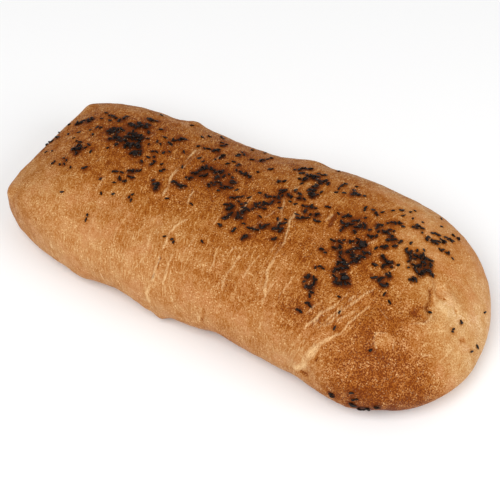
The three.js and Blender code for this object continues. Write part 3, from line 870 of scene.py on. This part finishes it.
def fibre_group():
    """Thin stretched strands that run across the loaf and lean towards its blunt end."""
    tree, shader, given, out = new_group(
        "Dough fibres",
        [("Lay", "NodeSocketVector", None), ("Width", "NodeSocketFloat", 1.0),
         ("Length", "NodeSocketFloat", 9.0), ("Sway", "NodeSocketFloat", 5.0),
         ("Bend", "NodeSocketFloat", 17.0)],
        [("Strands", "NodeSocketFloat")],
    )
    lay = shader.add("ShaderNodeSeparateXYZ", {0: given["Lay"]}).node.outputs
    often = shader.maths("DIVIDE", 1 / MM, given["Bend"])
    bent = shader.add("ShaderNodeTexNoise", {"Vector": given["Lay"], "Scale": often, "Detail": 1.0})
    sway = shader.maths("MULTIPLY", shader.maths("SUBTRACT", bent, 0.5), given["Sway"])
    leaning = shader.maths("ADD", lay["X"], shader.maths("MULTIPLY", sway, MM))
    narrow = shader.maths("DIVIDE", leaning, shader.maths("MULTIPLY", given["Width"], MM))
    long = shader.maths("DIVIDE", lay["Y"], shader.maths("MULTIPLY", given["Length"], MM))
    place = shader.add("ShaderNodeCombineXYZ", {"X": narrow, "Y": long})
    noise = shader.add("ShaderNodeTexNoise", {"Vector": place, "Scale": 1.0, "Detail": 2.0})
    tree.links.new(noise, out["Strands"])
    return tree


def use_group(shader, tree, inputs):
    """An effect placed in a material with its own values; gives its named outputs."""
    node = shader.tree.nodes.new("ShaderNodeGroup")
    node.node_tree = tree
    for name, value in inputs.items():
        if isinstance(value, bpy.types.NodeSocket):
            shader.tree.links.new(value, node.inputs[name])
        else:
            node.inputs[name].default_value = value
    return node.outputs


def new_material(name):
    material = bpy.data.materials.new(name)
    material.use_nodes = True
    tree = material.node_tree
    return material, Shader(tree), tree.nodes["Principled BSDF"]


CRUST_COLOURS = (
    (0.0, srgb(226, 190, 147)),
    (0.25, srgb(203, 159, 105)),
    (0.5, srgb(179, 122, 65)),
    (0.7, srgb(156, 91, 25)),
    (0.85, srgb(135, 67, 4)),
    (1.0, srgb(104, 44, 0)),
)
FLUSH_COLOUR = srgb(186, 118, 76)
FLECK_COLOUR = srgb(228, 186, 132)
# Pale stretch marks; the same colour paints a few highlights on lit folds.
STRETCH_AND_HIGHLIGHT_COLOUR = srgb(228, 188, 136)
# Dark brown by the seeds: partly scorch, partly painted shade under and between them.
SCORCH_AND_SHADE_COLOUR = srgb(62, 24, 2)
FLOURY_COLOUR = srgb(188, 132, 92)
# Painted shade on the back of the round end: warmer and more saturated.
WARM_SHADE_COLOUR = srgb(186, 106, 34)


def how_baked(shader, grains, short, long):
    """How brown each spot of the crust is, from the mesh's own browning, with painted shade in creases and
    pits, the finer unevenness, and the dark crust by the seeds, partly painted shade.
    """
    browning, fibrous = shader.read("browning"), shader.read("fibrous")
    uneven = shader.spread(grains["coarse"]["Grain"], 0.35, 0.65, 1.3, 0.6)
    uneven = shader.maths("MULTIPLY", uneven, shader.spread(fibrous, 0.0, 1.0, 1.1, 0.72))
    uneven = shader.maths("MULTIPLY", uneven, shader.spread(browning, 0.5, 0.8, 0.86, 1.5))
    crisp = shader.spread(grains["fine"]["Grain"], 0.36, 0.64, 0.15, -0.2)
    baked = shader.maths("ADD", browning, shader.maths("MULTIPLY", crisp, uneven))
    furrows = shader.spread(short, 0.3, 0.55, 0.06, 0.0)
    ridges = shader.spread(short, 0.55, 0.7, 0.0, -0.26)
    strands = shader.maths("MULTIPLY", shader.maths("ADD", furrows, ridges), fibrous)
    bundled = shader.spread(grains["coarse"]["Grain"], 0.36, 0.6, 0.3, 1.25)
    baked = shader.maths("ADD", baked, shader.maths("MULTIPLY", strands, bundled))
    for size, share in (("broad", 0.32), ("coarse", 0.36), ("medium", 0.28)):
        swing = shader.maths("SUBTRACT", grains[size]["Grain"], 0.5)
        baked = shader.maths("ADD", baked, shader.maths("MULTIPLY", swing, share))
    streaky = shader.maths("MULTIPLY", shader.spread(grains["broad"]["Grain"], 0.42, 0.6), fibrous)
    streaks = shader.maths("MULTIPLY", shader.spread(long, 0.54, 0.74), streaky)
    baked = shader.maths("ADD", baked, shader.maths("MULTIPLY", streaks, -0.36))
    # Browner close to the seeds: partly scorch, partly painted shade.
    return shader.maths("ADD", baked, shader.maths("MULTIPLY", shader.read("scorch_and_shade"), 0.45))


def tinted(shader, colour, grains, place, baked):
    """The baked colour flushed in patches, floury low on the front side, and painted warmer as shade on the
    back of the round end.
    """
    not_brown = shader.spread(baked, 0.75, 0.5)
    flush = shader.spread(grains["broad"]["Grain"], 0.52, 0.35, 0.0, 0.3)
    colour = shader.mix(shader.maths("MULTIPLY", flush, not_brown), colour, FLUSH_COLOUR)
    side = shader.add("ShaderNodeSeparateXYZ", {0: place}).node.outputs
    floury = shader.spread(side["Y"], -0.02, -0.06, 0.0, 0.2)
    colour = shader.mix(shader.maths("MULTIPLY", floury, not_brown), colour, FLOURY_COLOUR)
    # Painted shade: the back of the round end is made warmer and more saturated.
    behind = shader.spread(side["Y"], 0.0, 0.05, 0.0, 0.32)
    warm_shade = shader.maths("MULTIPLY", behind, shader.spread(side["X"], 0.03, 0.12))
    return shader.mix(warm_shade, colour, WARM_SHADE_COLOUR)


def marked(shader, colour, grains, short, baked):
    """The colour with dark spots by the seeds, partly scorch and partly painted shade, pale stretch marks,
    some of them painted highlights, and pale flecks.
    """
    # Dark brown close to the seeds and between crowded ones: partly scorched crust, partly painted shade.
    ragged = shader.spread(grains["medium"]["Grain"], 0.3, 0.7, 0.0, 0.35)
    burnt_and_shaded = shader.maths("SUBTRACT", shader.read("scorch_and_shade"), ragged)
    colour = shader.mix(shader.spread(burnt_and_shaded, 0.2, 0.85, 0.0, 0.8), colour, SCORCH_AND_SHADE_COLOUR)
    torn = shader.spread(grains["fine"]["Grain"], 0.32, 0.58, 0.5, 1.0)
    torn = shader.maths("MULTIPLY", torn, shader.spread(short, 0.38, 0.56, 0.6, 1.0))
    # Pale stretch marks, a few of them painted highlights on lit folds.
    stretch_and_highlight = shader.spread(shader.read("stretch_and_highlight"), 0.3, 0.95)
    colour = shader.mix(shader.maths("MULTIPLY", stretch_and_highlight, torn), colour, STRETCH_AND_HIGHLIGHT_COLOUR)
    clustered = shader.spread(grains["coarse"]["Grain"], 0.62, 0.4, 0.35, 0.95)
    clustered = shader.maths("MULTIPLY", clustered, shader.spread(baked, 0.6, 0.9, 1.0, 0.5))
    flecks = shader.maths("MULTIPLY", grains["fine"]["Specks"], clustered)
    return shader.mix(flecks, colour, FLECK_COLOUR)


def crust_material(grain, fibres):
    material, shader, surface = new_material("Baked crust")
    place = shader.add("ShaderNodeTexCoord", output=3)
    lay = shader.read("lay", "Vector")
    grains = {}
    for name, size in (("broad", 14.0), ("coarse", 6.0), ("medium", 2.4), ("fine", 0.8)):
        grains[name] = use_group(shader, grain, {"Place": place, "Size": size})
    strand = {"Lay": lay, "Width": 0.65, "Length": 5.0, "Sway": 5.0, "Bend": 6.0}
    streak = {"Lay": lay, "Width": 1.2, "Length": 11.0, "Sway": 9.0, "Bend": 16.0}
    short = use_group(shader, fibres, strand)["Strands"]
    long = use_group(shader, fibres, streak)["Strands"]
    baked = how_baked(shader, grains, short, long)
    colour = shader.ramp(baked, CRUST_COLOURS)
    colour = tinted(shader, colour, grains, place, baked)
    colour = marked(shader, colour, grains, short, baked)
    shader.tree.links.new(colour, surface.inputs["Base Color"])
    roughness = shader.spread(grains["coarse"]["Grain"], 0.3, 0.7, 0.5, 0.72)
    shader.tree.links.new(roughness, surface.inputs["Roughness"])
    surface.inputs["Specular IOR Level"].default_value = 0.12
    raised = shader.maths("MULTIPLY", short, shader.read("fibrous"))
    height = shader.maths("ADD", grains["fine"]["Grain"], raised)
    bump = shader.add("ShaderNodeBump", {"Height": height, "Strength": 0.7, "Distance": 0.0004})
    shader.tree.links.new(bump, surface.inputs["Normal"])
    return material


def seed_material(grain):
    material, shader, surface = new_material("Nigella seed")
    place = shader.add("ShaderNodeTexCoord", output=3)
    fine = use_group(shader, grain, {"Place": place, "Size": 0.6})
    tone = shader.maths("ADD", shader.read("tone"), shader.maths("MULTIPLY", fine["Grain"], 0.5))
    colour = shader.ramp(tone, ((0.2, srgb(8, 4, 2)), (1.1, srgb(28, 15, 8))))
    shader.tree.links.new(colour, surface.inputs["Base Color"])
    roughness = shader.spread(fine["Grain"], 0.3, 0.7, 0.32, 0.5)
    shader.tree.links.new(roughness, surface.inputs["Roughness"])
    surface.inputs["Specular IOR Level"].default_value = 0.18
    bump = shader.add("ShaderNodeBump", {"Height": fine["Grain"], "Strength": 0.4, "Distance": 0.0001})
    shader.tree.links.new(bump, surface.inputs["Normal"])
    return material


# ---- Floor, light and camera ----

FLOOR_HALF = 4.0
FLOOR_LEVEL = -0.0002


def make_floor():
    """A wide pale floor, a hair below the loaf's base."""
    material, _, surface = new_material("Pale floor")
    surface.inputs["Base Color"].default_value = (0.9, 0.9, 0.9, 1)
    surface.inputs["Roughness"].default_value = 0.9
    signs = ((-1, -1), (1, -1), (1, 1), (-1, 1))
    corners = [(x * FLOOR_HALF, y * FLOOR_HALF, FLOOR_LEVEL) for x, y in signs]
    floor = new_piece("floor", corners, [(0, 1, 2, 3)], material)


def view_axes(azimuth, elevation):
    """Unit direction from the target back to something at a given azimuth and elevation."""
    a, e = math.radians(azimuth), math.radians(elevation)
    return Vector((math.sin(a) * math.cos(e), -math.cos(a) * math.cos(e), math.sin(e)))


def soft_light(name, azimuth, elevation, distance, size, power):
    light = bpy.data.lights.new(name, "AREA")
    light.shape = "DISK"
    light.size = size
    light.energy = power
    lamp = bpy.data.objects.new(name, light)
    back = view_axes(azimuth, elevation)
    lamp.location = back * distance
    lamp.rotation_euler = back.to_track_quat("Z", "Y").to_euler()
    bpy.context.scene.collection.objects.link(lamp)


def make_lights():
    soft_light("key light", 0, 55, 1.6, 1.2, 17)
    soft_light("fill light", 85, 35, 1.6, 1.2, 9.5)
    world = bpy.data.worlds.new("studio")
    world.use_nodes = True
    world.node_tree.nodes["Background"].inputs["Color"].default_value = (1, 1, 1, 1)
    world.node_tree.nodes["Background"].inputs["Strength"].default_value = 0.52
    bpy.context.scene.world = world


def make_camera():
    camera = bpy.data.cameras.new("camera")
    camera.lens = LENS
    camera.sensor_width = SENSOR
    holder = bpy.data.objects.new("camera", camera)
    back = view_axes(VIEW_AZIMUTH, VIEW_ELEVATION)
    holder.location = VIEW_AIM + back * VIEW_DISTANCE
    holder.rotation_euler = back.to_track_quat("Z", "Y").to_euler()
    bpy.context.scene.collection.objects.link(holder)
    bpy.context.scene.camera = holder


# ---- The whole scene ----

make_camera()
make_lights()
make_floor()

fine_grain = grain_group()
dough_fibres = fibre_group()

crust = make_crust(crust_material(fine_grain, dough_fibres))
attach(crust, "root")
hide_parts("loaf")

seeds = make_seeds(seed_material(fine_grain))
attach(seeds, "root")

bpy.context.scene.view_settings.view_transform = "Standard"
